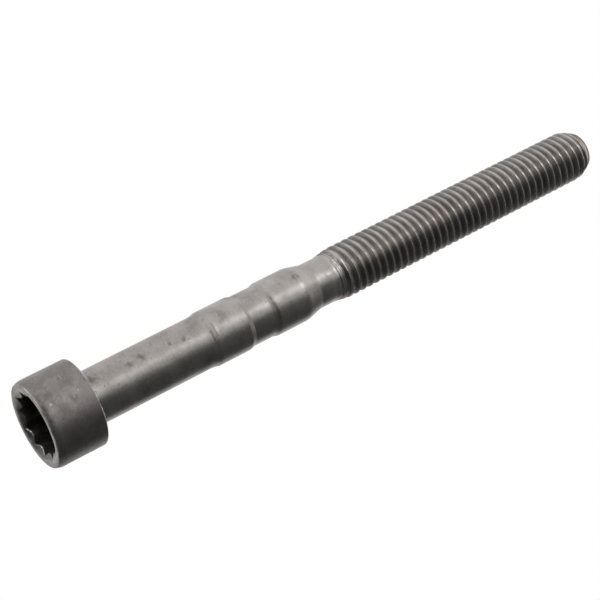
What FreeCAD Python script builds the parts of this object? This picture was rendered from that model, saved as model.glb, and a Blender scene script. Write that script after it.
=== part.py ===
import FreeCAD, Part
import math
import os

# Close-tolerance bolt with a cylindrical head and a 12-point socket. Millimetres.
# It stands on its head: the origin is the centre of the head's face and +Z runs to the tip.

# Head
head_diameter = 12.8
head_height = 7.57
nose_length = 0.77           # slight taper behind the face, left by the forging die
nose_drop = 0.25             # how far the taper narrows the head's radius
nose_blend = 2.0
face_edge_round = 0.25
bearing_edge_round = 0.25
under_head_fillet = 0.4

# Socket for a 12-point key: three squares turned by 30 degrees, with blunt teeth between their corners
socket_point_radius = 4.96   # from the axis to each of the 12 points
tooth_tip_radius = 4.25      # from the axis to the blunt tips of the teeth
socket_depth = 5.2
mouth_diameter = 10.84       # countersink where it meets the face
countersink_depth = 0.5      # where the countersink meets the tips of the teeth
floor_drop = 1.0             # shallow cone left by the punch
squares_in_socket = 3

# Plain shank
shank_diameter = 7.73
shank_length = 18.9

# Two ground collars that locate the bolt in its reamed hole
collar_diameter = 8.2
first_land_length = 5.05
second_land_length = 5.1
ramp_length = 1.0            # hollow ramp up to the first collar
ramp_blend = 8.0
collar_chamfer_length = 0.75
collar_shoulder_blend = 0.8
neck_diameter = 7.74         # between the collars
neck_length = 3.4
neck_blend = 0.3
land_edge_round = 0.15

# Relief in front of the thread
relief_diameter = 6.93
relief_length = 2.55
relief_taper_length = 2.65   # down from the second collar
taper_shoulder_blend = 3.0
relief_blend = 0.6

# Thread, as a cylinder over its crests, with the run-out and the tapered point
thread_diameter = 7.8
thread_pitch = 1.25
thread_length = 45.0         # crests of full height
blank_diameter = 7.12        # the bar before its thread was rolled
blank_rise_length = 0.5
run_out_turns = 1.6
run_out_blend = 2.0
point_turns = 1.64
point_diameter = 5.6         # end face of the point
point_blend = 4.0            # from the crests into the point
point_edge_round = 0.35

past_surface = 1.0           # how far a cutting tool reaches out of the metal
longest_round_share = 0.45   # of a wall, so that two rounds on it never meet


def rounded_corner(before, corner, after, radius):
    # An arc that is tangent to both walls, or none where they run straight on
    to_before = (before - corner).normalize()
    to_after = (after - corner).normalize()
    half_angle = to_before.getAngle(to_after) / 2
    shorter_wall = min((before - corner).Length, (after - corner).Length)
    setback = min(radius / math.tan(half_angle), longest_round_share * shorter_wall)
    fitted_radius = setback * math.tan(half_angle)
    inward = (to_before + to_after).normalize()
    to_arc = fitted_radius / math.sin(half_angle) - fitted_radius
    start = corner + to_before * setback
    middle = corner + inward * to_arc
    end = corner + to_after * setback
    return start, middle, end


def outline_from(corners):
    # Corners are (radius, height, rounding); the first and last ones lie on the axis
    points = [FreeCAD.Vector(radius, 0, height) for radius, height, rounding in corners]
    edges = []
    pen = points[0]
    for i in range(1, len(points) - 1):
        rounding = corners[i][2]
        if rounding:
            start, middle, end = rounded_corner(points[i - 1], points[i], points[i + 1], rounding)
            edges.append(Part.makeLine(pen, start))
            edges.append(Part.Arc(start, middle, end).toShape())
            pen = end
        else:
            edges.append(Part.makeLine(pen, points[i]))
            pen = points[i]
    edges.append(Part.makeLine(pen, points[-1]))
    edges.append(Part.makeLine(points[-1], points[0]))
    return Part.Wire(edges)


def head_corners():
    radius = head_diameter / 2
    return [
        (0, 0, 0),
        (radius - nose_drop, 0, face_edge_round),
        (radius, nose_length, nose_blend),
        (radius, head_height, bearing_edge_round),
        (shank_diameter / 2, head_height, under_head_fillet),
    ]


def collar_corners(start):
    # The plain shank's end, both collars and the neck between them
    first_land = start + ramp_length
    first_fall = first_land + first_land_length
    neck = first_fall + collar_chamfer_length
    second_rise = neck + neck_length
    second_land = second_rise + collar_chamfer_length
    second_fall = second_land + second_land_length
    corners = [
        (shank_diameter / 2, start, ramp_blend),
        (collar_diameter / 2, first_land, land_edge_round),
        (collar_diameter / 2, first_fall, collar_shoulder_blend),
        (neck_diameter / 2, neck, neck_blend),
        (neck_diameter / 2, second_rise, neck_blend),
        (collar_diameter / 2, second_land, collar_shoulder_blend),
        (collar_diameter / 2, second_fall, taper_shoulder_blend),
    ]
    return corners, second_fall


def thread_corners(start):
    # Relief, rolled run-out, crests and the tapered point
    relief = start + relief_taper_length
    rise = relief + relief_length
    blank = rise + blank_rise_length
    crests = blank + run_out_turns * thread_pitch
    point = crests + thread_length
    tip = point + point_turns * thread_pitch
    return [
        (relief_diameter / 2, relief, relief_blend),
        (relief_diameter / 2, rise, relief_blend),
        (blank_diameter / 2, blank, relief_blend),
        (thread_diameter / 2, crests, run_out_blend),
        (thread_diameter / 2, point, point_blend),
        (point_diameter / 2, tip, point_edge_round),
        (0, tip, 0),
    ]


def turned_blank():
    shank_end = head_height + shank_length
    collars, collars_end = collar_corners(shank_end)
    corners = head_corners() + collars + thread_corners(collars_end)
    section = Part.Face(outline_from(corners))
    return section.revolve(FreeCAD.Vector(0, 0, 0), FreeCAD.Vector(0, 0, 1), 360)


def square_prism(turn):
    # One of the socket's squares, with a corner at this angle, from below the face to the floor
    half_diagonal = socket_point_radius
    corners = []
    for i in range(5):
        angle = math.radians(turn + 90 * i)
        x = half_diagonal * math.cos(angle)
        y = half_diagonal * math.sin(angle)
        corners.append(FreeCAD.Vector(x, y, -past_surface))
    face = Part.Face(Part.makePolygon(corners))
    return face.extrude(FreeCAD.Vector(0, 0, past_surface + socket_depth))


def drive_socket():
    spacing = 90 / squares_in_socket
    prisms = [square_prism(spacing * i) for i in range(squares_in_socket)]
    base = FreeCAD.Vector(0, 0, -past_surface)
    bore = Part.makeCylinder(tooth_tip_radius, past_surface + socket_depth, base)
    slope = (mouth_diameter / 2 - tooth_tip_radius) / countersink_depth
    outer_radius = mouth_diameter / 2 + slope * past_surface
    countersink_height = countersink_depth + past_surface
    countersink = Part.makeCone(outer_radius, tooth_tip_radius, countersink_height, base)
    floor = Part.makeCone(tooth_tip_radius, 0, floor_drop, FreeCAD.Vector(0, 0, socket_depth))
    return prisms[0].multiFuse(prisms[1:] + [bore, countersink, floor])


bolt = turned_blank().cut(drive_socket()).removeSplitter()

os.makedirs("parts", exist_ok=True)
bolt.exportStep("parts/bolt.step")
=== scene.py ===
# Long bolt with a cylinder head, dark steel, one forging with a rolled thread.
# Metres. It stands on its head, +Z runs to the tip, and +X passes through a point of the socket.
import bmesh
import bpy
import math
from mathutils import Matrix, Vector


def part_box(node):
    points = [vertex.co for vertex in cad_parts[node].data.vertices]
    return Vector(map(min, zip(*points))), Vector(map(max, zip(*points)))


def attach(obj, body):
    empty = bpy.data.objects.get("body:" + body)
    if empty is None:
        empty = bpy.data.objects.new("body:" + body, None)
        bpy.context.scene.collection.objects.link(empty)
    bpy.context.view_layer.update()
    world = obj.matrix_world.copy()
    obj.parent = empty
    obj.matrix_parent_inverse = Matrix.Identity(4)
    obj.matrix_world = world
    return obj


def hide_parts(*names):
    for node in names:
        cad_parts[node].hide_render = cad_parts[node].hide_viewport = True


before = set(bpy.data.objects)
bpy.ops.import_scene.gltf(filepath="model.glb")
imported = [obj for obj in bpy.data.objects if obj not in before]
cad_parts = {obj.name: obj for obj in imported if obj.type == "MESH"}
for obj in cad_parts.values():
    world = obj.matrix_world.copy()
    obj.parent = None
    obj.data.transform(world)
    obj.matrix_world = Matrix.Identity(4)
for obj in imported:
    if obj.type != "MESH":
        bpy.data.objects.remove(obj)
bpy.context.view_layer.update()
mm = 0.001
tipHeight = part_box("bolt")[1].z / mm
print("frame loaded, bolt is", round(tipHeight, 2), "mm long")

# The camera, as the photo was taken
cameraSetup = {
    "place": (-17.52, -225.78, -64.71),   # mm
    "right": (0.80413, 0.45518, 0.38237),  # along the bolt, across it, and out of it towards the viewer
    "up": (0.41108, -0.89040, 0.19547),
    "facing": -94.7,                      # degrees round the bolt, where it faces the viewer
    "lens": 105.6,
    "sensor": 36,
    "nearest": 0.01,                      # m
    "farthest": 20,                       # m
}

studio = {
    "worldLevel": 1.0,
    "stripAngle": -18.0,                  # degrees round the bolt from where it faces the viewer
    "stripDistance": 420.0,
    "stripHeight": 260.0,
    "stripAim": 50.0,                     # the height on the bolt that it points at
    "stripWidth": 70.0,
    "stripLength": 300.0,
    "stripPower": 0.2,
    "floorDrop": 0.05,
    "floorSize": 3000.0,
    "floorColour": (0.93, 0.93, 0.93),
    "cardTint": (0.93, 1.0, 1.04),
    "cardSteps": 24,
}

# Dark cards for the steel to reflect: degrees round the bolt, and each ring's radius and height, mm
darkCards = {
    "sideCard": {"from": 14.0, "to": 128.0, "level": 0.09, "rings": ((190, -160), (190, 310))},
    "lowCard": {"from": 8.0, "to": 157.0, "level": 0.035,
                "rings": ((1, -240), (120, -225), (215, -160), (270, -70), (285, -15))},
    "underCard": {"from": 155.0, "to": 203.0, "level": 0.04,
                  "rings": ((1, -242), (120, -227), (215, -162))},
    "poleCard": {"from": -30.0, "to": 234.0, "level": 0.03, "rings": ((1, -236), (150, -224))},
    "farCard": {"from": 195.0, "to": 245.0, "level": 0.45,
                "rings": ((225, -150), (270, -70), (285, -25))},
    "frontCard": {"from": -42.0, "to": 8.0, "level": 0.04, "rings": ((150, -224), (300, -60))},
    "highCard": {"from": -6.0, "to": 14.0, "level": 0.05, "rings": ((190, 205), (190, 420))},
}


def aroundBolt(angle, distance, height):
    # A place in metres, with the angle counted from where the bolt faces the viewer
    turn = math.radians(cameraSetup["facing"] + angle)
    return Vector((math.cos(turn) * distance, math.sin(turn) * distance, height)) * mm


def makeCamera():
    outward = aroundBolt(0, 1000, 0).normalized()
    across = aroundBolt(90, 1000, 0).normalized()
    along = Vector((0, 0, 1))
    mixed = []
    for name in ("right", "up"):
        a, b, c = cameraSetup[name]
        mixed.append((along * a + across * b + outward * c).normalized())
    right, up = mixed
    back = right.cross(up).normalized()
    up = back.cross(right)
    camera = bpy.data.objects.new("camera", bpy.data.cameras.new("camera"))
    camera.data.lens = cameraSetup["lens"]
    camera.data.sensor_width = cameraSetup["sensor"]
    camera.data.clip_start = cameraSetup["nearest"]
    camera.data.clip_end = cameraSetup["farthest"]
    bpy.context.scene.collection.objects.link(camera)
    turned = camera.matrix_world.copy()
    for row in range(3):
        turned[row][0] = right[row]
        turned[row][1] = up[row]
        turned[row][2] = back[row]
        turned[row][3] = cameraSetup["place"][row] * mm
    camera.matrix_world = turned
    bpy.context.scene.camera = camera


def addNode(tree, kind, **values):
    # A node with its settings, and its inputs by name or number
    node = tree.nodes.new(kind)
    for name, value in values.items():
        if hasattr(node, name):
            setattr(node, name, value)
        else:
            node.inputs[name].default_value = value
    return node


def meshObject(name, verts, faces):
    mesh = bpy.data.meshes.new(name)
    mesh.from_pydata(verts, [], faces)
    item = bpy.data.objects.new(name, mesh)
    bpy.context.scene.collection.objects.link(item)
    return item


def emissionMaterial(name, colour, strength):
    material = bpy.data.materials.new(name)
    material.use_nodes = True
    tree = material.node_tree
    tree.nodes.clear()
    light = addNode(tree, "ShaderNodeEmission")
    light.inputs["Color"].default_value = (*colour, 1)
    light.inputs["Strength"].default_value = strength
    output = addNode(tree, "ShaderNodeOutputMaterial")
    tree.links.new(light.outputs[0], output.inputs[0])
    return material


def makeCard(name, card):
    # The camera and the shadows pass through it, so only the steel shows it
    steps = studio["cardSteps"]
    verts = []
    faces = []
    rows = len(card["rings"])
    for i in range(steps + 1):
        angle = card["from"] + (card["to"] - card["from"]) * i / steps
        verts += [aroundBolt(angle, radius, height) for radius, height in card["rings"]]
    for i in range(steps):
        for k in range(rows - 1):
            corner = i * rows + k
            faces.append((corner, corner + rows, corner + rows + 1, corner + 1))
    item = meshObject(name, verts, faces)
    item.data.materials.append(emissionMaterial(name, studio["cardTint"], card["level"]))
    item.visible_camera = False
    item.visible_shadow = False


def makeStudio():
    scene = bpy.context.scene
    scene.view_settings.view_transform = "Standard"
    world = bpy.data.worlds.new("whiteRoom")
    scene.world = world
    world.use_nodes = True
    world.node_tree.nodes["Background"].inputs["Color"].default_value = (1, 1, 1, 1)
    world.node_tree.nodes["Background"].inputs["Strength"].default_value = studio["worldLevel"]

    for name, card in darkCards.items():
        makeCard(name, card)

    strip = bpy.data.lights.new("stripLamp", "AREA")
    strip.shape = "RECTANGLE"
    strip.size = studio["stripWidth"] * mm
    strip.size_y = studio["stripLength"] * mm
    strip.energy = studio["stripPower"]
    stripObject = bpy.data.objects.new("stripLamp", strip)
    place = aroundBolt(studio["stripAngle"], studio["stripDistance"], studio["stripHeight"])
    stripObject.location = place
    aim = Vector((0, 0, studio["stripAim"] * mm)) - place
    stripObject.rotation_mode = "QUATERNION"
    stripObject.rotation_quaternion = aim.to_track_quat("-Z", "Y")
    scene.collection.objects.link(stripObject)

    half = studio["floorSize"] / 2 * mm
    level = -studio["floorDrop"] * mm
    corners = [(-half, -half, level), (half, -half, level), (half, half, level), (-half, half, level)]
    floor = meshObject("floor", corners, [(0, 1, 2, 3)])
    material = bpy.data.materials.new("paleFloor")
    material.use_nodes = True
    tree = material.node_tree
    tree.nodes.clear()
    paint = addNode(tree, "ShaderNodeBsdfDiffuse")
    paint.inputs["Color"].default_value = (*studio["floorColour"], 1)
    clear = addNode(tree, "ShaderNodeBsdfTransparent")   # from below the bolt is seen through it
    side = addNode(tree, "ShaderNodeNewGeometry")
    mix = addNode(tree, "ShaderNodeMixShader")
    output = addNode(tree, "ShaderNodeOutputMaterial")
    tree.links.new(side.outputs["Backfacing"], mix.inputs[0])
    tree.links.new(paint.outputs[0], mix.inputs[1])
    tree.links.new(clear.outputs[0], mix.inputs[2])
    tree.links.new(mix.outputs[0], output.inputs[0])
    floor.data.materials.append(material)
    floor.visible_shadow = False
    floor.visible_glossy = False
    floor.visible_diffuse = False


# The turned form, mm, with the CAD solid's sizes, and how its rings are laid and worn
form = {
    "faceRadius": 6.15,
    "noseLength": 0.77,
    "noseBlend": 2.0,
    "faceRound": 0.25,
    "headRadius": 6.4,
    "headHeight": 7.57,
    "bearingRound": 0.25,
    "headFillet": 0.4,
    "shankRadius": 3.865,
    "shankLength": 18.9,
    "collarRadius": 4.1,
    "rampLength": 1.0,
    "rampBlend": 8.0,
    "firstLand": 5.05,
    "collarChamfer": 0.75,
    "collarBlend": 0.8,
    "landRound": 0.15,
    "neckRadius": 3.87,
    "neckLength": 3.4,
    "neckBlend": 0.3,
    "secondLand": 5.1,
    "taperBlend": 3.0,
    "reliefRadius": 3.465,
    "reliefTaper": 2.65,
    "reliefLength": 2.55,
    "reliefBlend": 0.6,
    "blankRadius": 3.56,
    "blankRise": 0.5,
    "pointRadius": 2.8,
    "pointRound": 0.35,
    "columns": 96,
    "arcStep": 9.0,               # degrees between the rings of a rounding
    "guard": 0.04,                # an extra ring beside each rounding keeps its wall straight
    "guardShare": 0.04,           # but no further along a short wall than this share of it
    "longestRound": 0.45,         # of a wall, so that two roundings on it never meet
    "wornRound": 0.25,            # roundings up to this size are rubbed bright
    "mergeDistance": 0.0015,      # points that are closer than this are one
    "baredFace": 0.8,             # how far the coating is off the head's face
    # And off the shank: height, and how far; as it rises towards the thread it also paints the
    # highlight stronger there
    "baredAndLit": ((0, 0), (26.3, 0), (27.5, 0.4), (33.2, 0.4),
              (37.4, 0.65), (42.5, 0.7), (45.2, 0.95), (48, 1)),
}

socket = {
    "pointRadius": 4.96,
    "toothRadius": 4.25,
    "points": 12,
    "squareCorner": 45.0,         # degrees from a square's corner to the middle of its side
    "depth": 5.2,
    "mouthRadius": 5.42,
    "countersink": 0.5,
    "floorDrop": 1.0,
    "cuts": (0.0, 0.8, 3.0, 5.5, 8.0, 9.9),   # degrees from a point towards the next tooth
    "toothCut": 12.8,
    "cornerSoftness": 0.5,        # degrees that round off the points
    "floorRings": (0.3, 0.6, 0.85, 1.0),      # shares of the teeth's radius
    "wallRings": (0.05, 0.5, 0.9),            # shares of the way up from the floor
    "frontEdge": 0.10,            # worn front edge of each tooth
    "edgeShare": 0.4,             # of the countersink's width, where that is narrow
    # Rings over the front edge: steps down the wall, steps out on the countersink, and their wear
    "edgeRings": ((1.4, 0.0, 0), (1.0, 0.0, 1), (0.3, 0.3, 1), (0.0, 1.0, 1), (0.0, 1.4, 0)),
    "wornAndGlinting": ((31, 47), (73, 88), (130, 139), (191, 197), (222, 237), (304, 318)),   # degrees; the tooth edges in these arcs are painted bright, partly as wear and partly as glints
    "quietWear": 0.15,            # how worn the edges between these are
    "shadeDepth": 5.0,              # the painted shade gets darker all the way down to here
    "brightDepth": 1.0,           # below the countersink the walls turn bright over this depth, partly as painted light on them
    "sharpBelow": 6.5,            # below this height an edge is sharp where the surface turns there
    "sharpUpright": 25,           # by more than this many degrees, if the edge runs along the bolt,
    "sharpAcross": 50,            # or by more than this many, if it runs round it
    "uprightShare": 0.8,          # it runs along the bolt where more than this share of it is rise
}

thread = {
    "crestRadius": 3.9,
    "rootRadius": 3.17,
    "pitch": 1.25,
    "crestFlat": 0.15,
    "crestRound": 0.05,
    "rootRound": 0.16,
    "crestAtX": 52.90,            # height of a crest where the thread passes +X
    "crestTurns": 1.6,            # the crests rise to their height in this many turns
    "riseSoftness": 0.3,
    "rootTurns": 2.6,             # and the grooves sink in this many
    "pointTurns": 1.64,
    "pointBlend": 0.7,
    "smoothTip": 0.45,            # plain end of the point
    "lip": 0.10,                  # a crest that isn't filled has a lip on each side and a dent between
    "seamDepth": 0.06,
    "seamWidth": 0.05,            # the seam that rolling leaves on the first crests
    "seamLength": 10.0,
    "rowsPerTurn": 20,
    "spareTurns": 2,              # so that the slanting rows reach both ends all the way round
    "crowding": 0.6,              # how far the rows draw together at the crests and the roots
    "wornDepth": 0.17,            # the crests are rubbed down to here
    "shadeDepth": 0.26,             # from here down the grooves are darkened with painted shade
    "ripples": 3,                 # fine lines that the rolls left on the run-out, in each turn
    "rippleDepth": 0.045,
    "rippleRise": 5,              # how fast they come in with the crests
    "baredFade": 1.6,             # how fast the ground steel ends as the grooves sink
}


def roundedCorner(before, corner, after, radius):
    # Points along an arc that is tangent to both walls, with one more on each wall beside it
    toBefore = (before - corner).normalized()
    toAfter = (after - corner).normalized()
    halfAngle = toBefore.angle(toAfter) / 2
    wall = min((before - corner).length, (after - corner).length)
    setback = min(radius / math.tan(halfAngle), form["longestRound"] * wall)
    fitted = setback * math.tan(halfAngle)
    centre = corner + (toBefore + toAfter).normalized() * (fitted / math.sin(halfAngle))
    first = (corner + toBefore * setback - centre).normalized()
    last = (corner + toAfter * setback - centre).normalized()
    turn = math.degrees(first.angle(last))
    steps = max(2, math.ceil(turn / form["arcStep"]))
    guard = min(form["guard"], form["guardShare"] * wall)
    outward = toAfter.cross(toBefore) > 0
    wornAndGlinting = min(1, form["wornRound"] / fitted) if outward else 0
    points = [(corner + toBefore * (setback + guard), 0)]
    for i in range(steps + 1):
        place = centre + first.slerp(last, i / steps) * fitted
        points.append((place, wornAndGlinting * math.sin(math.pi * i / steps)))
    return points + [(corner + toAfter * (setback + guard), 0)]


def outlineOf(corners):
    # Points with how worn each one is, from the corners' radius, height and rounding
    places = [Vector((radius, height)) for radius, height, rounding in corners]
    points = [(places[0], 0)]
    for i in range(1, len(places) - 1):
        rounding = corners[i][2]
        if rounding:
            points += roundedCorner(places[i - 1], places[i], places[i + 1], rounding)
        else:
            points.append((places[i], 0))
    points.append((places[-1], 0))
    return points


def bodyOutline():
    # From the socket's mouth, over the head and the collars, to where the thread starts
    shankEnd = form["headHeight"] + form["shankLength"]
    firstLand = shankEnd + form["rampLength"]
    firstFall = firstLand + form["firstLand"]
    neck = firstFall + form["collarChamfer"]
    secondRise = neck + form["neckLength"]
    secondLand = secondRise + form["collarChamfer"]
    secondFall = secondLand + form["secondLand"]
    relief = secondFall + form["reliefTaper"]
    rise = relief + form["reliefLength"]
    corners = [
        (socket["mouthRadius"], 0, 0),
        (form["faceRadius"], 0, form["faceRound"]),
        (form["headRadius"], form["noseLength"], form["noseBlend"]),
        (form["headRadius"], form["headHeight"], form["bearingRound"]),
        (form["shankRadius"], form["headHeight"], form["headFillet"]),
        (form["shankRadius"], shankEnd, form["rampBlend"]),
        (form["collarRadius"], firstLand, form["landRound"]),
        (form["collarRadius"], firstFall, form["collarBlend"]),
        (form["neckRadius"], neck, form["neckBlend"]),
        (form["neckRadius"], secondRise, form["neckBlend"]),
        (form["collarRadius"], secondLand, form["collarBlend"]),
        (form["collarRadius"], secondFall, form["taperBlend"]),
        (form["reliefRadius"], relief, form["reliefBlend"]),
        (form["reliefRadius"], rise, form["reliefBlend"]),
        (form["blankRadius"], threadStart(), 0),
    ]
    return outlineOf(corners)


def threadStart():
    lengths = ("headHeight", "shankLength", "rampLength", "firstLand", "collarChamfer", "neckLength",
               "collarChamfer", "secondLand", "reliefTaper", "reliefLength", "blankRise")
    return sum(form[name] for name in lengths)


def threadEnd():
    return tipHeight - thread["smoothTip"]


def pointSlope():
    return (thread["crestRadius"] - form["pointRadius"]) / (thread["pointTurns"] * thread["pitch"])


def tipOutline():
    start = form["pointRadius"] + thread["smoothTip"] * pointSlope()
    corners = [
        (start, threadEnd(), 0),
        (form["pointRadius"], tipHeight, form["pointRound"]),
        (form["pointRadius"] / 2, tipHeight, 0),
    ]
    return outlineOf(corners)


def starRadius(angle):
    # Three squares laid over each other, with blunt teeth between their corners
    spacing = 360 / socket["points"]
    half = spacing / 2
    away = abs((angle + half) % spacing - half)
    away = math.hypot(away, socket["cornerSoftness"])
    corner = math.radians(socket["squareCorner"])
    flank = socket["pointRadius"] * math.cos(corner) / math.cos(corner - math.radians(away))
    return max(flank, socket["toothRadius"])


def socketAngles():
    # Columns that crowd at the points and at the corners of the teeth
    spacing = 360 / socket["points"]
    side = socket["pointRadius"] * math.cos(math.radians(socket["squareCorner"]))
    toothCorner = socket["squareCorner"] - math.degrees(math.acos(side / socket["toothRadius"]))
    cuts = list(socket["cuts"]) + [toothCorner, socket["toothCut"]]
    cuts += [spacing / 2] + [spacing - cut for cut in reversed(cuts[1:])]
    return [spacing * i + cut for i in range(socket["points"]) for cut in cuts]


def socketRings():
    # From the floor's middle to the mouth: each ring's radius and height at every column, and its wear
    turns = socketAngles()
    stars = [starRadius(turn) for turn in turns]
    slope = socket["countersink"] / (socket["mouthRadius"] - socket["toothRadius"])
    meetings = [slope * (socket["mouthRadius"] - star) for star in stars]
    rings = []
    for share in socket["floorRings"]:
        fall = socket["floorDrop"] * (1 - share)
        rings.append(([(socket["toothRadius"] * share, socket["depth"] + fall)] * len(turns), 0))
    rings.append(([(star, socket["depth"]) for star in stars], 0))
    for lift in socket["wallRings"]:
        level = socket["depth"] * (1 - lift)
        rings.append(([(star, level + meeting * lift) for star, meeting in zip(stars, meetings)], 0))
    for down, out, wear in socket["edgeRings"]:
        ring = []
        for star, meeting in zip(stars, meetings):
            room = min(socket["frontEdge"], socket["edgeShare"] * (socket["mouthRadius"] - star))
            radius = star + room * out
            onCone = slope * (socket["mouthRadius"] - radius)
            ring.append((radius, meeting + room * down if out < 1 else onCone))
        rings.append((ring, wear))
    rings.append(([((socket["mouthRadius"] + star) / 2, meeting / 2)
                   for star, meeting in zip(stars, meetings)], 0))
    rings.append(([(socket["mouthRadius"], 0)] * len(turns), 0))
    return rings


def baredAndLitAt(height):
    # How much of the dark coating the grinding took off here, from the head to the thread; the rise
    # towards the thread is partly a painted highlight
    places = form["baredAndLit"]
    for (low, before), (high, after) in zip(places, places[1:]):
        if height < high:
            return before + (after - before) * max(0, height - low) / (high - low)
    return places[-1][1]


def addRing(bm, ring, turns, wear):
    layers = bm.verts.layers.float
    verts = []
    for (radius, height), turn in zip(ring, turns):
        angle = math.radians(turn)
        vert = bm.verts.new(Vector((radius * math.cos(angle), radius * math.sin(angle), height)) * mm)
        inSocket = radius < socket["mouthRadius"] and height < form["headHeight"]
        # The tooth edges in the listed arcs wear fully, which paints glints on them
        wornAndGlinting = any(low <= turn <= high for low, high in socket["wornAndGlinting"])
        vert[layers["wear"]] = wear if wornAndGlinting or not inSocket else socket["quietWear"] * wear
        if inSocket:
            below = max(0, height - socket["countersink"])
            # Painted shade, darker the deeper the socket goes
            vert[layers["shadeShare"]] = min(1, height / socket["shadeDepth"])
            # Lighter walls below the countersink, partly painted light
            vert[layers["baredAndLit"]] = min(1, below / socket["brightDepth"])
        elif height == 0:
            vert[layers["baredAndLit"]] = form["baredFace"]
        elif height >= threadEnd():
            # The plain tip end gets the full painted shade
            vert[layers["shadeShare"]] = 1
        elif form["headHeight"] < height < threadEnd() - thread["smoothTip"]:
            vert[layers["baredAndLit"]] = baredAndLitAt(height)
        verts.append(vert)
    return verts


def joinRings(bm, inner, outer, slot):
    # Outward faces between two rings; the inner one may have twice the columns of the outer one
    share = len(inner) // len(outer)
    for i in range(len(outer)):
        following = (i + 1) % len(outer)
        side = [inner[(i * share + k) % len(inner)] for k in range(share + 1)]
        face = bm.faces.new(side + [outer[following], outer[i]])
        face.material_index = slot


def closeRing(bm, ring, height, slot, top):
    centre = bm.verts.new(Vector((0, 0, height)) * mm)
    for i in range(len(ring)):
        pair = [ring[i], ring[(i + 1) % len(ring)]]
        if not top:
            pair.reverse()
        face = bm.faces.new(pair + [centre])
        face.material_index = slot


def latheRings(bm, outline, previous, slot):
    columns = form["columns"]
    turns = [360 * i / columns for i in range(columns)]
    for point, wear in outline:
        ring = addRing(bm, [tuple(point)] * columns, turns, wear)
        if previous:
            joinRings(bm, previous, ring, slot)
        previous = ring
    return previous


def calc(tree, operation, *values):
    # One math node; its inputs are numbers or other nodes' sockets
    node = tree.nodes.new("ShaderNodeMath")
    node.operation = operation
    for i, value in enumerate(values):
        if isinstance(value, (int, float)):
            node.inputs[i].default_value = value
        else:
            tree.links.new(value, node.inputs[i])
    return node.outputs[0]


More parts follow.
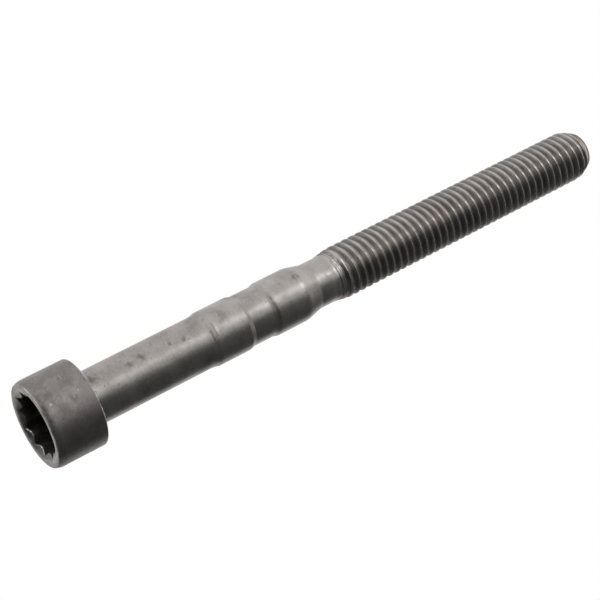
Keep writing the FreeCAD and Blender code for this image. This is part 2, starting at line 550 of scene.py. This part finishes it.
def rolledThreadTree():
    tree = bpy.data.node_groups.new("rolledThread", "GeometryNodeTree")
    sockets = tree.interface
    sockets.new_socket("Geometry", in_out="INPUT", socket_type="NodeSocketGeometry")
    sockets.new_socket("Geometry", in_out="OUTPUT", socket_type="NodeSocketGeometry")
    for name in ("Start", "End", "Pitch", "Lead", "Crest Radius", "Root Radius", "Blank Radius",
                 "Crest Flat", "Crest Round", "Root Round", "Crest Run", "Rise Softness", "Root Run",
                 "Lip", "Seam Depth", "Seam Width", "Seam Length", "End Radius", "Point Slope",
                 "Point Blend", "Crowding", "Worn Depth", "Shade Depth", "Ripple Depth", "Ripple Rise",
                 "Bared Fade", "Merge Distance"):
        sockets.new_socket(name, in_out="INPUT", socket_type="NodeSocketFloat")
    for name in ("Columns", "Rows Per Turn", "Turns", "Spare Turns", "Ripples"):
        sockets.new_socket(name, in_out="INPUT", socket_type="NodeSocketInt")
    sockets.new_socket("Material", in_out="INPUT", socket_type="NodeSocketMaterial")
    given = tree.nodes.new("NodeGroupInput").outputs
    wide = calc(tree, "ADD", given["Columns"], 1)
    tall = calc(tree, "MULTIPLY_ADD", given["Rows Per Turn"], given["Turns"], 1)
    grid = tree.nodes.new("GeometryNodeMeshGrid")
    tree.links.new(tall, grid.inputs["Vertices X"])
    tree.links.new(wide, grid.inputs["Vertices Y"])
    index = tree.nodes.new("GeometryNodeInputIndex").outputs[0]
    # Half a point more keeps the division from falling just short of a row
    row = calc(tree, "FLOOR", calc(tree, "DIVIDE", calc(tree, "ADD", index, 0.5), wide))
    column = calc(tree, "SUBTRACT", index, calc(tree, "MULTIPLY", row, wide))
    share = calc(tree, "DIVIDE", column, given["Columns"])
    angle = calc(tree, "MULTIPLY", share, 2 * math.pi)

    # The rows crowd twice in each turn, at the crest and at the root
    twoWaves = 4 * math.pi
    even = calc(tree, "DIVIDE", row, given["Rows Per Turn"])
    wave = calc(tree, "SINE", calc(tree, "MULTIPLY", even, twoWaves))
    pull = calc(tree, "MULTIPLY", wave, calc(tree, "DIVIDE", given["Crowding"], twoWaves))
    turn = calc(tree, "SUBTRACT", even, pull)
    lead = calc(tree, "SUBTRACT", given["Lead"], given["Spare Turns"])
    climb = calc(tree, "ADD", calc(tree, "ADD", turn, share), lead)
    height = calc(tree, "MULTIPLY_ADD", climb, given["Pitch"], given["Start"])
    height = calc(tree, "MINIMUM", calc(tree, "MAXIMUM", height, given["Start"]), given["End"])

    # How far the crests have risen and the grooves have sunk here, and where the point cuts in
    tan60 = math.tan(math.radians(60))
    along = calc(tree, "SUBTRACT", height, given["Start"])
    risen = calc(tree, "DIVIDE", along, given["Crest Run"])
    risen = calc(tree, "SMOOTH_MIN", risen, 1, given["Rise Softness"])
    crest = calc(tree, "SUBTRACT", given["Crest Radius"], given["Blank Radius"])
    crest = calc(tree, "MULTIPLY_ADD", crest, risen, given["Blank Radius"])
    sunk = tree.nodes.new("ShaderNodeMapRange")
    sunk.interpolation_type = "SMOOTHSTEP"
    tree.links.new(along, sunk.inputs["Value"])
    tree.links.new(given["Root Run"], sunk.inputs["From Max"])
    sunk = sunk.outputs[0]
    root = calc(tree, "SUBTRACT", given["Root Radius"], given["Blank Radius"])
    root = calc(tree, "MULTIPLY_ADD", root, sunk, given["Blank Radius"])
    toEnd = calc(tree, "SUBTRACT", given["End"], height)
    cone = calc(tree, "MULTIPLY_ADD", toEnd, given["Point Slope"], given["End Radius"])
    crest = calc(tree, "SMOOTH_MIN", crest, cone, given["Point Blend"])

    # The section: 60 degree flanks between the crest and the root
    offCrest = calc(tree, "ABSOLUTE", calc(tree, "SUBTRACT", turn, calc(tree, "ROUND", turn)))
    offCrest = calc(tree, "MULTIPLY", offCrest, given["Pitch"])
    halfFlat = calc(tree, "MULTIPLY", given["Crest Flat"], 0.5)
    lift = calc(tree, "SUBTRACT", root, given["Root Radius"])
    sharp = calc(tree, "ADD", given["Crest Radius"], lift)
    flank = calc(tree, "MULTIPLY_ADD", calc(tree, "SUBTRACT", halfFlat, offCrest), tan60, sharp)
    section = calc(tree, "SMOOTH_MIN", crest, flank, given["Crest Round"])
    halfCrest = calc(tree, "MULTIPLY_ADD", calc(tree, "SUBTRACT", sharp, crest), 1 / tan60, halfFlat)
    seamLeft = calc(tree, "SUBTRACT", 1, calc(tree, "DIVIDE", along, given["Seam Length"]))
    seam = calc(tree, "MULTIPLY", calc(tree, "MAXIMUM", seamLeft, 0), given["Seam Width"])
    seam = calc(tree, "MAXIMUM", calc(tree, "SUBTRACT", halfCrest, given["Lip"]), seam)
    seam = calc(tree, "MAXIMUM", calc(tree, "SUBTRACT", seam, offCrest), 0)
    seam = calc(tree, "MINIMUM", seam, given["Seam Depth"])
    section = calc(tree, "SUBTRACT", section, calc(tree, "MULTIPLY", seam, risen))
    plain = calc(tree, "SUBTRACT", 1, sunk)
    rising = calc(tree, "MINIMUM", calc(tree, "MULTIPLY", risen, given["Ripple Rise"]), 1)
    waves = calc(tree, "MULTIPLY", given["Ripples"], 2 * math.pi)
    ripple = calc(tree, "SINE", calc(tree, "MULTIPLY", turn, waves))
    ripple = calc(tree, "MULTIPLY_ADD", ripple, 0.5, 0.5)
    ripple = calc(tree, "MULTIPLY", ripple, calc(tree, "MULTIPLY", plain, rising))
    section = calc(tree, "SUBTRACT", section, calc(tree, "MULTIPLY", ripple, given["Ripple Depth"]))
    rounding = calc(tree, "MULTIPLY", given["Root Round"], sunk)
    section = calc(tree, "SMOOTH_MAX", section, root, rounding)
    radius = calc(tree, "MINIMUM", section, cone)

    # How far below the crest each place lies: the crests are rubbed, and the grooves get painted shade
    below = calc(tree, "MAXIMUM", calc(tree, "SUBTRACT", crest, radius), 0)
    wear = calc(tree, "SUBTRACT", 1, calc(tree, "DIVIDE", below, given["Worn Depth"]))
    wear = calc(tree, "MULTIPLY", calc(tree, "MAXIMUM", wear, 0), risen)
    shadeShare = calc(tree, "MINIMUM", calc(tree, "DIVIDE", below, given["Shade Depth"]), 1)
    # The ripples' hollows get painted shade as well
    shadeShare = calc(tree, "MAXIMUM", shadeShare, ripple)
    faded = calc(tree, "MULTIPLY", sunk, given["Bared Fade"])
    baredAndLit = calc(tree, "MAXIMUM", calc(tree, "SUBTRACT", 1, faded), 0)

    place = tree.nodes.new("ShaderNodeCombineXYZ")
    tree.links.new(calc(tree, "MULTIPLY", radius, calc(tree, "COSINE", angle)), place.inputs["X"])
    tree.links.new(calc(tree, "MULTIPLY", radius, calc(tree, "SINE", angle)), place.inputs["Y"])
    tree.links.new(height, place.inputs["Z"])
    moved = tree.nodes.new("GeometryNodeSetPosition")
    tree.links.new(place.outputs[0], moved.inputs["Position"])
    stored = []
    for name, value in (("wear", wear), ("shadeShare", shadeShare), ("baredAndLit", baredAndLit)):
        stored.append(addNode(tree, "GeometryNodeStoreNamedAttribute", Name=name))
        tree.links.new(value, stored[-1].inputs["Value"])
    merged = tree.nodes.new("GeometryNodeMergeByDistance")
    tree.links.new(given["Merge Distance"], merged.inputs["Distance"])
    flipped = tree.nodes.new("GeometryNodeFlipFaces")
    smooth = tree.nodes.new("GeometryNodeSetShadeSmooth")
    whole = tree.nodes.new("GeometryNodeRealizeInstances")
    painted = tree.nodes.new("GeometryNodeSetMaterial")
    tree.links.new(given["Material"], painted.inputs["Material"])
    end = tree.nodes.new("NodeGroupOutput")
    steps = [grid, *stored, moved, merged, flipped, smooth, whole, painted, end]
    for before, after in zip(steps, steps[1:]):
        tree.links.new(before.outputs[0], after.inputs[0])
    return tree


def threadMesh(material):
    start = threadStart()
    end = threadEnd()
    pitch = thread["pitch"]
    values = {
        "Start": start * mm,
        "End": end * mm,
        "Pitch": pitch * mm,
        "Lead": (thread["crestAtX"] - start) / pitch % 1,
        "Crest Radius": thread["crestRadius"] * mm,
        "Root Radius": thread["rootRadius"] * mm,
        "Blank Radius": form["blankRadius"] * mm,
        "Crest Flat": thread["crestFlat"] * mm,
        "Crest Round": thread["crestRound"] * mm,
        "Root Round": thread["rootRound"] * mm,
        "Crest Run": thread["crestTurns"] * pitch * mm,
        "Rise Softness": thread["riseSoftness"],
        "Root Run": thread["rootTurns"] * pitch * mm,
        "Lip": thread["lip"] * mm,
        "Seam Depth": thread["seamDepth"] * mm,
        "Seam Width": thread["seamWidth"] * mm,
        "Seam Length": thread["seamLength"] * mm,
        "End Radius": (form["pointRadius"] + thread["smoothTip"] * pointSlope()) * mm,
        "Point Slope": pointSlope(),
        "Point Blend": thread["pointBlend"] * mm,
        "Crowding": thread["crowding"],
        "Worn Depth": thread["wornDepth"] * mm,
        "Shade Depth": thread["shadeDepth"] * mm,
        "Ripple Depth": thread["rippleDepth"] * mm,
        "Ripple Rise": thread["rippleRise"],
        "Bared Fade": thread["baredFade"],
        "Merge Distance": form["mergeDistance"] * mm,
        "Columns": form["columns"],
        "Rows Per Turn": thread["rowsPerTurn"],
        "Turns": math.ceil((end - start) / pitch) + thread["spareTurns"],
        "Spare Turns": thread["spareTurns"],
        "Ripples": thread["ripples"],
        "Material": material,
    }
    carrier = meshObject("threadCarrier", [], [])
    modifier = carrier.modifiers.new("rolledThread", "NODES")
    modifier.node_group = rolledThreadTree()
    for item in modifier.node_group.interface.items_tree:
        if item.in_out == "INPUT" and item.name in values:
            modifier[item.identifier] = values[item.name]
    bpy.context.view_layer.update()
    evaluated = carrier.evaluated_get(bpy.context.evaluated_depsgraph_get())
    mesh = bpy.data.meshes.new_from_object(evaluated)
    carrier.modifiers.clear()
    bpy.data.objects.remove(carrier)
    return mesh


def makeBolt(materials):
    socketSlot, headSlot, shankSlot, threadSlot = range(4)
    bm = bmesh.new()
    bm.from_mesh(threadMesh(materials[threadSlot]))
    for face in bm.faces:
        face.material_index = threadSlot

    # The socket from the middle of its floor to its mouth, the head, shank and collars, and the tip
    rings = socketRings()
    turns = socketAngles()
    previous = addRing(bm, rings[0][0], turns, 0)
    closeRing(bm, previous, socket["depth"] + socket["floorDrop"], socketSlot, top=False)
    for ring, wear in rings[1:]:
        following = addRing(bm, ring, turns, wear)
        joinRings(bm, previous, following, socketSlot)
        previous = following
    latheRings(bm, bodyOutline()[1:], previous, headSlot)
    tip = latheRings(bm, tipOutline(), None, threadSlot)
    closeRing(bm, tip, tipHeight, threadSlot, top=True)
    bmesh.ops.remove_doubles(bm, verts=bm.verts[:], dist=form["mergeDistance"] * mm)

    underHead = (form["headHeight"] + form["headFillet"]) * mm
    for face in bm.faces:
        face.smooth = True
        if face.material_index == headSlot and face.calc_center_median().z > underHead:
            face.material_index = shankSlot
    for edge in bm.edges:
        if edge.verts[0].co.z < socket["sharpBelow"] * mm and len(edge.link_faces) == 2:
            rise = abs(edge.verts[0].co.z - edge.verts[1].co.z)
            upright = rise > socket["uprightShare"] * edge.calc_length()
            limit = socket["sharpUpright"] if upright else socket["sharpAcross"]
            edge.smooth = edge.calc_face_angle(0) < math.radians(limit)
    openEdges = sum(len(edge.link_faces) != 2 for edge in bm.edges)

    mesh = bpy.data.meshes.new("rolledBolt")
    bm.normal_update()
    bm.to_mesh(mesh)
    bm.free()
    for material in materials:
        mesh.materials.append(material)
    bolt = bpy.data.objects.new("rolledBolt", mesh)
    bpy.context.scene.collection.objects.link(bolt)
    mesh.calc_loop_triangles()
    print("bolt has", len(mesh.loop_triangles), "triangles and", openEdges, "open edges")
    return bolt


# The steel's four finishes
finish = {
    "forged": {
        "dull": (0.198, 0.181, 0.174),
        "clean": (0.296, 0.271, 0.262),
        "wornAndGlinting": (0.88, 0.84, 0.81),
        "scuffAndGlint": (0.66, 0.63, 0.61),
        "rubbedRoughness": 0.12,      # added where it is rubbed
        "roughness": 0.46,
        "grazing": 1.0,               # how much it still reflects where it is seen along its surface
        "patchSize": 2.2,             # mm
        "grain": 1.8,                 # how strongly it breaks up the patches
        "lines": 0.10,                # how strongly turning marks show
        "smudges": 0.25,
        "specks": 0.35,
        "paintedShade": 0.3,                   # how dark the painted shade is
        "relief": 0.6,                # of the bump
        # Degrees round the bolt, radius, height and size, mm; a streak has its half width as well
        "stains": ((-121, 6.4, 2.2, 1.3), (-97, 6.4, 2.6, 1.8), (-104, 6.4, 4.6, 1.0)),
        "stainStreaks": ((-106, 6.4, 0.55, 3.5, 0.30),),
        # The scuffs below are partly painted glints where the light catches the steel
        "scuffsAndGlints": ((-109, 6.4, 1.43, 0.3), (-110, 6.4, 5.63, 0.25)),
        "scuffAndGlintStreaks": ((-137, 6.4, 4.7, 0.7, 0.07), (-120, 6.25, 0.07, 7.5, 0.14)),
        "stainDepth": 0.35,
        "scuffAndGlintDepth": 0.45,
    },
    "ground": {
        "dull": (0.265, 0.242, 0.230),
        "clean": (0.395, 0.366, 0.350),
        "wornAndGlinting": (0.66, 0.63, 0.61),
        "scuffAndGlint": (0.66, 0.63, 0.61),
        "rubbedRoughness": -0.12,
        "roughness": 0.40,
        "grazing": 1.0,
        "patchSize": 4.0,
        "grain": 1.4,
        "lines": 0.25,
        "smudges": 0.27,
        "specks": 0.25,
        "paintedShade": 0.3,
        "relief": 0.45,
        "stains": ((-128, 3.9, 8.9, 1.3), (-121, 3.9, 14.4, 0.8), (-124, 3.9, 16.5, 0.9),
                   (-121, 3.9, 20.9, 0.55), (-115, 3.9, 23.0, 0.5), (-126, 4.1, 42.2, 1.0),
                   (60, 3.9, 14.0, 1.6)),
        "stainStreaks": ((-98, 3.9, 26.9, 1.9, 0.17), (-106, 3.95, 27.55, 1.5, 0.14),
                         (-82, 4.0, 37.35, 3.4, 0.38), (70, 3.9, 27.0, 2.5, 0.2)),
        # The scuffs below are partly painted glints where the light catches the steel
        "scuffsAndGlints": ((-106, 4.1, 42.4, 0.6), (-101, 3.5, 47.1, 0.5)),
        "scuffAndGlintStreaks": ((-110, 4.1, 42.38, 1.8, 0.18), (-84, 4.1, 32.62, 2.8, 0.11)),
        "stainDepth": 0.85,
        "scuffAndGlintDepth": 0.35,
    },
    "rolled": {
        "dull": (0.425, 0.395, 0.373),
        "clean": (0.565, 0.520, 0.490),
        "wornAndGlinting": (0.46, 0.42, 0.40),
        "scuffAndGlint": (0.76, 0.72, 0.70),
        "rubbedRoughness": -0.12,
        "roughness": 0.33,
        "grazing": 0.3,
        "patchSize": 3.0,
        "grain": 1.2,
        "lines": 0.05,
        "smudges": 0.3,
        "specks": 0.3,
        "paintedShade": 0.36,
        "relief": 0.4,
        "stains": ((-100, 3.8, 52.2, 0.5),),
        "stainStreaks": ((-85, 3.55, 48.63, 3.2, 0.17), (-95, 3.6, 49.65, 3.0, 0.15),
                         # the last streak darkens the whole tip end
                         (0, 0, 97.3, 12, 1.4)),
        # The scuffs below are partly painted glints where the light catches the steel
        "scuffsAndGlints": ((-118, 3.65, 49.0, 0.45), (-126, 3.65, 49.25, 0.55), (-113, 3.85, 50.1, 0.6)),
        "scuffAndGlintStreaks": ((-118, 3.65, 49.2, 2.6, 0.22),),
        "stainDepth": 0.9,
        "scuffAndGlintDepth": 1.0,
    },
    "punched": {
        "dull": (0.175, 0.162, 0.153),
        "clean": (0.270, 0.253, 0.240),
        "wornAndGlinting": (0.75, 0.72, 0.70),
        "rubbedRoughness": -0.12,
        "roughness": 0.36,
        "grazing": 1.0,
        "patchSize": 1.2,
        "grain": 1.0,
        "lines": 0.05,
        "smudges": 0.2,
        "specks": 0.2,
        "paintedShade": 0.6,
        "relief": 0.4,
    },
}

# What the finishes share
coating = {
    "baredAndLit": (0.475, 0.441, 0.423),
    "dirt": (0.35, 0.33, 0.32),   # dirt, painted shade and stains multiply the steel's colour
    "paintedShade": (0.10, 0.10, 0.10),
    "stain": (0.45, 0.42, 0.40),
    "pitDirt": 0.5,               # how much dirt the pits hold
    "patchEnds": (-0.3, 1.3),     # where the patches are all dull and all clean
    "baredDull": 0.7,             # how far the dull patches lighten where the steel is bared
    "lineTint": 4,                # the turning marks' strength in the colour
    "lineRelief": 3,              # and in the bump
    "grainRoughness": 0.12,       # from half of it below a finish's roughness to half above
    "dirtRoughness": 0.10,        # added where it is dirty
    "baredRoughness": -0.01,      # and where it is bared
    "bumpDepth": 0.02,            # mm
    "lineSqueeze": (90, 90, 7000),            # long round the bolt and narrow along it
    "wornEdge": (0.45, 1.0),      # the wear at which an edge starts to shine, and where it fully does
    "raggedReach": 2.4,           # how far a mark's rim wanders, as a share of the mark
}

# Its noise patterns; a mask runs from 0 at its start to 1 where it is full
patterns = {
    "patches": {"detail": 4, "roughness": 0.6, "start": 0.32, "full": 0.68},
    "grain": {"perMetre": 3000, "detail": 3, "roughness": 0.65},
    "smudges": {"perMetre": 230, "detail": 4, "roughness": 0.6, "start": 0.54, "full": 0.68},
    "specks": {"perMetre": 2000, "detail": 1, "roughness": 0.5, "start": 0.73, "full": 0.80},
    "pits": {"perMetre": 1500, "detail": 2, "roughness": 0.6, "start": 0.66, "full": 0.74},
    "lines": {"perMetre": 1, "detail": 3, "roughness": 0.6},
    "broken": {"perMetre": 500, "detail": 4, "roughness": 0.7, "start": 0.36, "full": 0.60},
    "ragged": {"perMetre": 900, "detail": 4, "roughness": 0.75},
}


def newGroup(name, inputs, outputs):
    tree = bpy.data.node_groups.new(name, "ShaderNodeTree")
    for label, kind in inputs.items():
        tree.interface.new_socket(label, in_out="INPUT", socket_type="NodeSocket" + kind)
    for label in outputs:
        tree.interface.new_socket(label, in_out="OUTPUT", socket_type="NodeSocketFloat")
    return tree, tree.nodes.new("NodeGroupInput").outputs, tree.nodes.new("NodeGroupOutput").inputs


def ramp(tree, value, low, high):
    # 0 below the one value and 1 above the other, with soft ends
    node = addNode(tree, "ShaderNodeMapRange", interpolation_type="SMOOTHSTEP")
    node.inputs["From Min"].default_value = low
    node.inputs["From Max"].default_value = high
    tree.links.new(value, node.inputs["Value"])
    return node.outputs[0]


def noise(tree, vector, pattern, scale=None):
    # One of the patterns, or its mask where it has a start; the patches bring their own scale
    look = patterns[pattern]
    node = addNode(tree, "ShaderNodeTexNoise", Detail=look["detail"], Roughness=look["roughness"])
    tree.links.new(vector, node.inputs["Vector"])
    if scale is None:
        node.inputs["Scale"].default_value = look["perMetre"]
    else:
        tree.links.new(scale, node.inputs["Scale"])
    if "start" not in look:
        return node.outputs["Fac"]
    return ramp(tree, node.outputs["Fac"], look["start"], look["full"])


def mottlingGroup():
    # Soft patches, a fine grain, oily smudges, small pits, and specks where the coating is gone
    tree, given, results = newGroup("mottling", {"Vector": "Vector", "Patch Size": "Float"},
                                    ("Patches", "Grain", "Smudges", "Specks", "Pits"))
    scale = calc(tree, "DIVIDE", 1, given["Patch Size"])
    tree.links.new(noise(tree, given["Vector"], "patches", scale), results["Patches"])
    for name in ("grain", "smudges", "specks", "pits"):
        tree.links.new(noise(tree, given["Vector"], name), results[name.title()])
    return tree


def turningGroup():
    # Fine lines round the bolt, which fade in and out along their way
    tree, given, results = newGroup("turningMarks", {"Vector": "Vector"}, ("Lines",))
    squeezed = addNode(tree, "ShaderNodeVectorMath", operation="MULTIPLY")
    squeezed.inputs[1].default_value = coating["lineSqueeze"]
    tree.links.new(given["Vector"], squeezed.inputs[0])
    tree.links.new(noise(tree, squeezed.outputs[0], "lines"), results["Lines"])
    return tree


def wearGroup():
    # The bright rubbed metal of edges and crests, broken up; on some socket teeth it is a painted glint
    tree, given, results = newGroup("edgeWear", {"Vector": "Vector", "Edge": "Float"}, ("Mask",))
    edge = ramp(tree, given["Edge"], *coating["wornEdge"])
    broken = noise(tree, given["Vector"], "broken")
    tree.links.new(calc(tree, "MULTIPLY", edge, broken), results["Mask"])
    return tree


def brokenMarkGroup():
    # A mark with a ragged edge; the distance is 0 in its middle and 1 at its rim
    tree, given, results = newGroup("brokenMark", {"Vector": "Vector", "Distance": "Float"}, ("Mask",))
    ragged = calc(tree, "SUBTRACT", noise(tree, given["Vector"], "ragged"), 0.5)
    distance = calc(tree, "MULTIPLY_ADD", ragged, coating["raggedReach"], given["Distance"])
    tree.links.new(ramp(tree, distance, 1.0, 0.0), results["Mask"])
    return tree


def markDistance(tree, place, marks, streaks):
    # How far it is to the nearest of these marks and streaks, in their own sizes
    height = tree.nodes.new("ShaderNodeSeparateXYZ")
    tree.links.new(place, height.inputs[0])
    nearest = None
    for angle, radius, level, reach, *width in (*marks, *streaks):
        turn = math.radians(angle)
        near = addNode(tree, "ShaderNodeVectorMath", operation="DISTANCE")
        centre = Vector((math.cos(turn) * radius, math.sin(turn) * radius, level)) * mm
        near.inputs[1].default_value = centre
        tree.links.new(place, near.inputs[0])
        distance = calc(tree, "DIVIDE", near.outputs["Value"], reach * mm)
        if width:
            aside = calc(tree, "ABSOLUTE", calc(tree, "SUBTRACT", height.outputs["Z"], level * mm))
            distance = calc(tree, "MAXIMUM", distance, calc(tree, "DIVIDE", aside, width[0] * mm))
        nearest = calc(tree, "MINIMUM", nearest, distance) if nearest else distance
    return nearest


def useGroup(tree, group, vector):
    node = tree.nodes.new("ShaderNodeGroup")
    node.node_tree = group
    tree.links.new(vector, node.inputs["Vector"])
    return node


def markMask(tree, group, place, marks, streaks, depth):
    # Where any of these marks and streaks is, and how deep
    mark = useGroup(tree, group, place)
    tree.links.new(markDistance(tree, place, marks, streaks), mark.inputs["Distance"])
    return calc(tree, "MULTIPLY", mark.outputs["Mask"], depth)


def attribute(tree, name):
    return addNode(tree, "ShaderNodeAttribute", attribute_name=name).outputs["Fac"]


def blend(tree, kind, share, first, second):
    # Mixes two colours; each one is a colour or another node's socket
    node = addNode(tree, "ShaderNodeMix", data_type="RGBA", blend_type=kind)
    for socketIndex, value in ((0, share), (6, first), (7, second)):
        if isinstance(value, bpy.types.NodeSocket):
            tree.links.new(value, node.inputs[socketIndex])
        elif isinstance(value, tuple):
            node.inputs[socketIndex].default_value = (*value, 1)
        else:
            node.inputs[socketIndex].default_value = value
    return node.outputs[2]


def steelMaterial(name, look, groups):
    steel = bpy.data.materials.new(name)
    steel.use_nodes = True
    tree = steel.node_tree
    bsdf = tree.nodes["Principled BSDF"]
    bsdf.inputs["Metallic"].default_value = 1.0
    bsdf.inputs["Specular Tint"].default_value = (look["grazing"], look["grazing"], look["grazing"], 1)
    place = tree.nodes.new("ShaderNodeTexCoord").outputs["Object"]
    mottling = useGroup(tree, groups["mottling"], place)
    mottling.inputs["Patch Size"].default_value = look["patchSize"] * mm
    patches, grain, smudges, specks, pits = mottling.outputs
    lines = useGroup(tree, groups["turning"], place).outputs["Lines"]
    wear = useGroup(tree, groups["wear"], place)
    tree.links.new(attribute(tree, "wear"), wear.inputs["Edge"])
    shadeShare = attribute(tree, "shadeShare")
    baredAndLit = attribute(tree, "baredAndLit")

    # Patches of dull and clean steel, then the dirt, the painted shade, the stains, and the wear,
    # scuffs and painted glints that are bright
    lined = calc(tree, "SUBTRACT", lines, 0.5)
    mixed = calc(tree, "MULTIPLY_ADD", lined, look["lines"] * coating["lineTint"], patches)
    mixed = calc(tree, "MULTIPLY_ADD", calc(tree, "SUBTRACT", grain, 0.5), look["grain"], mixed)
    mixed = ramp(tree, mixed, *coating["patchEnds"])
    # Where the coating is bared the steel is lighter; along the shank this also paints a stronger
    # highlight towards the thread
    cleaned = blend(tree, "MIX", baredAndLit, look["clean"], coating["baredAndLit"])
    lightened = calc(tree, "MULTIPLY", baredAndLit, coating["baredDull"])
    coated = blend(tree, "MIX", lightened, look["dull"], look["clean"])
    colour = blend(tree, "MIX", mixed, coated, cleaned)
    dirt = calc(tree, "MAXIMUM", calc(tree, "MULTIPLY", pits, coating["pitDirt"]),
                calc(tree, "MULTIPLY", smudges, look["smudges"]))
    colour = blend(tree, "MULTIPLY", dirt, colour, coating["dirt"])
    # Painted shade in the socket, the grooves and at the tip
    shaded = calc(tree, "MULTIPLY", shadeShare, look["paintedShade"])
    colour = blend(tree, "MULTIPLY", shaded, colour, coating["paintedShade"])
    bright = calc(tree, "MAXIMUM", wear.outputs["Mask"], calc(tree, "MULTIPLY", specks, look["specks"]))
    if "stains" in look:
        stained = markMask(tree, groups["mark"], place, look["stains"], look["stainStreaks"],
                           look["stainDepth"])
        colour = blend(tree, "MULTIPLY", stained, colour, coating["stain"])
    # Worn edges and crests; on some socket teeth this paints glints
    colour = blend(tree, "MIX", bright, colour, look["wornAndGlinting"])
    # Scuffs, partly painted glints, in a lighter colour
    if "scuffsAndGlints" in look:
        scuffAndGlint = markMask(tree, groups["mark"], place, look["scuffsAndGlints"], look["scuffAndGlintStreaks"],
                           look["scuffAndGlintDepth"])
        colour = blend(tree, "MIX", scuffAndGlint, colour, look["scuffAndGlint"])
        bright = calc(tree, "MAXIMUM", bright, scuffAndGlint)
    tree.links.new(colour, bsdf.inputs["Base Color"])

    least = look["roughness"] - coating["grainRoughness"] / 2
    rough = calc(tree, "MULTIPLY_ADD", grain, coating["grainRoughness"], least)
    rough = calc(tree, "MULTIPLY_ADD", dirt, coating["dirtRoughness"], rough)
    rough = calc(tree, "MULTIPLY_ADD", baredAndLit, coating["baredRoughness"], rough)
    rough = calc(tree, "MULTIPLY_ADD", bright, look["rubbedRoughness"], rough)
    tree.links.new(rough, bsdf.inputs["Roughness"])

    height = calc(tree, "MULTIPLY_ADD", lines, look["lines"] * coating["lineRelief"], grain)
    height = calc(tree, "SUBTRACT", height, pits)
    bump = addNode(tree, "ShaderNodeBump", Strength=look["relief"], Distance=coating["bumpDepth"] * mm)
    tree.links.new(height, bump.inputs["Height"])
    tree.links.new(bump.outputs[0], bsdf.inputs["Normal"])
    return steel


makeCamera()
makeStudio()
print("camera and studio placed")
groups = {
    "mottling": mottlingGroup(),
    "turning": turningGroup(),
    "wear": wearGroup(),
    "mark": brokenMarkGroup(),
}
materials = [
    steelMaterial("punchedSteel", finish["punched"], groups),
    steelMaterial("forgedSteel", finish["forged"], groups),
    steelMaterial("groundSteel", finish["ground"], groups),
    steelMaterial("rolledSteel", finish["rolled"], groups),
]
print("materials made")
bolt = makeBolt(materials)
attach(bolt, "root")
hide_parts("bolt")
